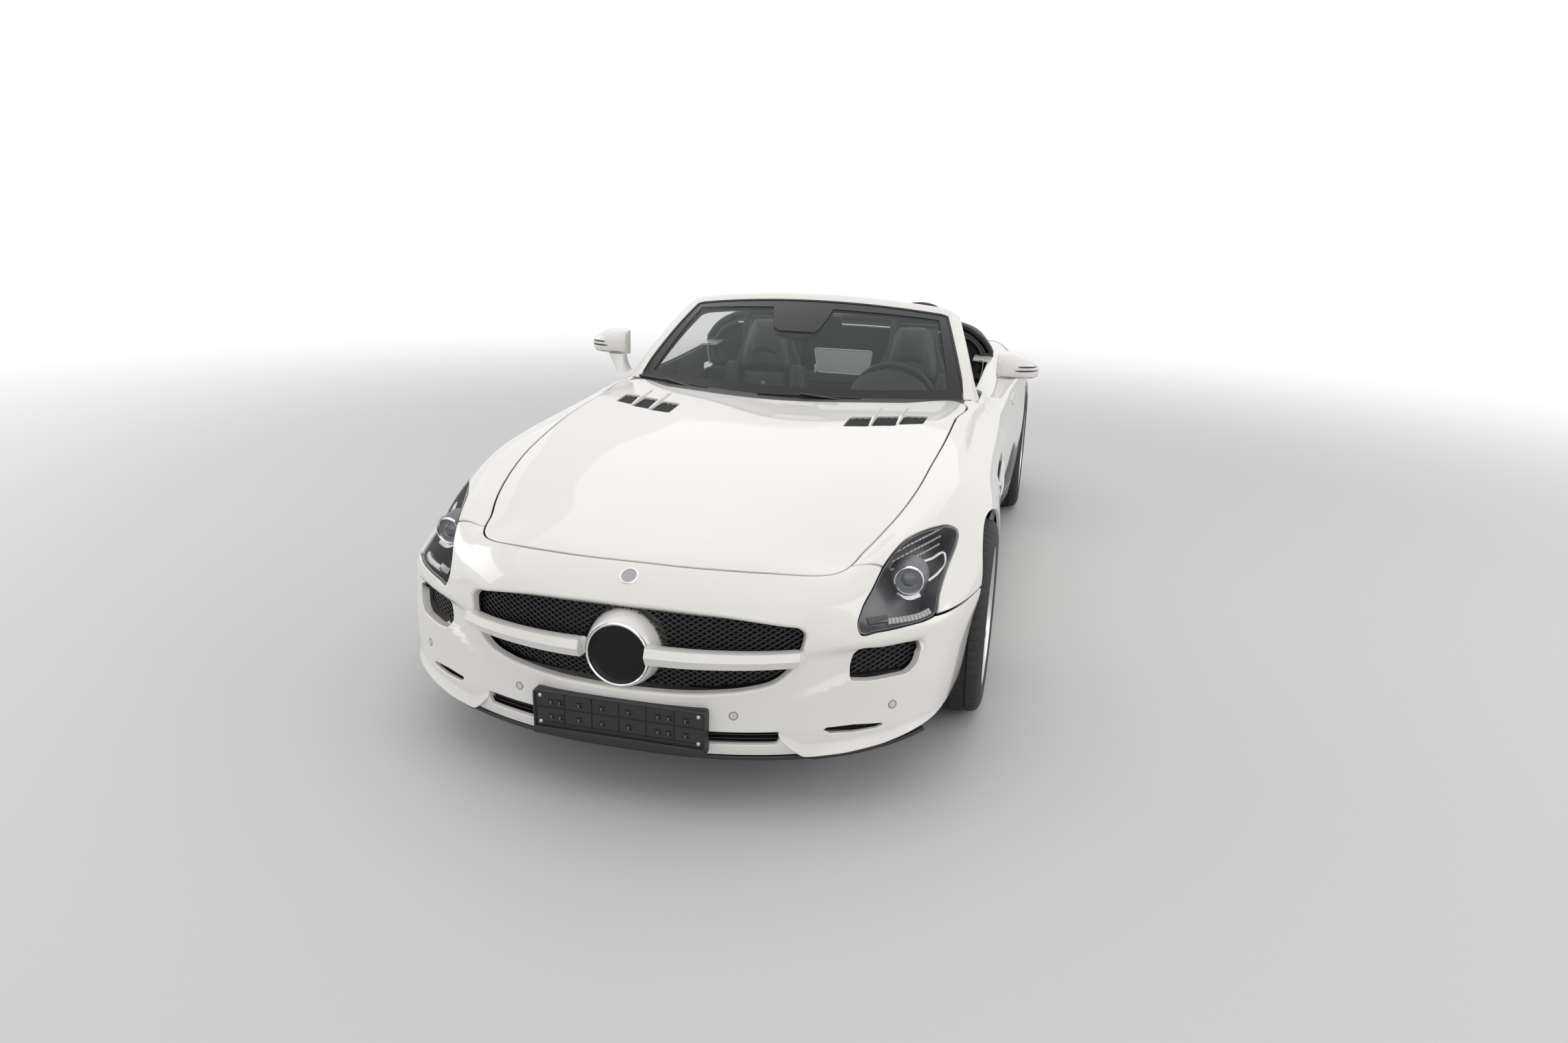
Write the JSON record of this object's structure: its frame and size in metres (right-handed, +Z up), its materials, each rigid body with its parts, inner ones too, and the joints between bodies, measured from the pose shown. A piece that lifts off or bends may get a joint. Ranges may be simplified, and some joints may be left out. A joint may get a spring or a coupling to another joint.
{
  "type": "two-seat roadster car",
  "caption": "Open two-seat roadster with long bonnet, opening doors, bonnet and boot lid, and wheels that roll and steer.",
  "frame": {"origin": "on the ground, at the centre of the bounding box's underside, midway between nose and tail", "axes": "+Z up, +Y towards the tail, +X towards the car's left side; the nose faces -Y"},
  "size_m": [2.072, 4.638, 1.26],
  "materials": {
    "pearl_paint": "gloss",
    "black_plastic": "matte",
    "dark_metal": "matte",
    "satin_silver": "satin",
    "clear_lens": "gloss",
    "red_lens": "gloss",
    "screen_glass": "gloss",
    "black_leather": "matte",
    "soft_top_fabric": "matte",
    "tyre_rubber": "matte"
  },
  "bodies": {
    "chassis": {"floor_pan": "dark_metal", "boot_floor": "dark_metal", "rear_bulkhead": "dark_metal", "side_sills": "pearl_paint", "front_bumper": "pearl_paint", "grille_mesh": "black_plastic", "grille_bar": "satin_silver", "number_plate_holder": "black_plastic", "headlamps": "clear_lens", "front_wing_left": "pearl_paint", "front_wing_right": "pearl_paint", "cowl": "black_plastic", "windscreen_frame": "pearl_paint", "windscreen_glass": "screen_glass", "rear_wing_left": "pearl_paint", "rear_wing_right": "pearl_paint", "rear_bumper": "pearl_paint", "rear_diffuser": "black_plastic", "tail_lamps": "red_lens", "dashboard": "black_leather", "centre_console": "black_leather", "seat_left": "black_leather", "seat_right": "black_leather", "roll_hoops": "satin_silver", "wind_deflector": "screen_glass", "soft_top": "soft_top_fabric", "powertrain": "dark_metal", "exhaust": "satin_silver", "front_suspension": "dark_metal", "rear_suspension": "dark_metal"},
    "bonnet": {"bonnet": "pearl_paint"},
    "boot_lid": {"boot_lid": "pearl_paint"},
    "steering_wheel": {"steering_wheel": "black_leather"},
    "door_left": {"door_left": "pearl_paint", "mirror_left": "pearl_paint"},
    "knuckle_left": {"knuckle_left": "dark_metal"},
    "door_right": {"door_right": "pearl_paint", "mirror_right": "pearl_paint"},
    "knuckle_right": {"knuckle_right": "dark_metal"},
    "wheel_front_left": {"tyre_front_left": "tyre_rubber", "rim_front_left": "satin_silver"},
    "wheel_front_right": {"tyre_front_right": "tyre_rubber", "rim_front_right": "satin_silver"},
    "wheel_rear_left": {"tyre_rear_left": "tyre_rubber", "rim_rear_left": "satin_silver"},
    "wheel_rear_right": {"tyre_rear_right": "tyre_rubber", "rim_rear_right": "satin_silver"}
  },
  "joints": [
    {"name": "bonnet_hinge", "type": "hinge", "parent": "chassis", "child": "bonnet", "pos_m": [0, -0.328, 0.935], "axis": [-1, 0, 0], "range_deg": [0, 55]},
    {"name": "boot_lid_hinge", "type": "hinge", "parent": "chassis", "child": "boot_lid", "pos_m": [0, 1.241, 0.955], "axis": [1, 0, 0], "range_deg": [0, 75]},
    {"name": "door_left_hinge", "type": "hinge", "parent": "chassis", "child": "door_left", "pos_m": [0.944, -0.302, 0.5], "axis": [0, 0, -1], "range_deg": [0, 65]},
    {"name": "door_right_hinge", "type": "hinge", "parent": "chassis", "child": "door_right", "pos_m": [-0.944, -0.302, 0.5], "axis": [0, 0, 1], "range_deg": [0, 65]},
    {"name": "steer_left", "type": "hinge", "parent": "chassis", "child": "knuckle_left", "pos_m": [0.732, -1.329, 0.334], "axis": [0, 0, 1], "range_deg": [-30, 30]},
    {"name": "steer_right", "type": "hinge", "parent": "chassis", "child": "knuckle_right", "pos_m": [-0.732, -1.329, 0.334], "axis": [0, 0, 1], "range_deg": [-30, 30]},
    {"name": "steering_column", "type": "hinge", "parent": "chassis", "child": "steering_wheel", "pos_m": [0.385, 0.111, 0.805], "axis": [0, 0.9063, 0.4226], "range_deg": [-410, 410]},
    {"name": "wheel_front_left_spin", "type": "hinge", "parent": "knuckle_left", "child": "wheel_front_left", "pos_m": [0.832, -1.329, 0.334], "axis": [1, 0, 0], "continuous": true},
    {"name": "wheel_front_right_spin", "type": "hinge", "parent": "knuckle_right", "child": "wheel_front_right", "pos_m": [-0.832, -1.329, 0.334], "axis": [1, 0, 0], "continuous": true},
    {"name": "wheel_rear_left_spin", "type": "hinge", "parent": "chassis", "child": "wheel_rear_left", "pos_m": [0.82, 1.351, 0.342], "axis": [1, 0, 0], "continuous": true},
    {"name": "wheel_rear_right_spin", "type": "hinge", "parent": "chassis", "child": "wheel_rear_right", "pos_m": [-0.82, 1.351, 0.342], "axis": [1, 0, 0], "continuous": true}
  ],
  "couplings": [
    {"joint": "steer_right", "follows": "steer_left", "ratio": 1},
    {"joint": "steering_column", "follows": "steer_left", "ratio": 13.6}
  ]
}
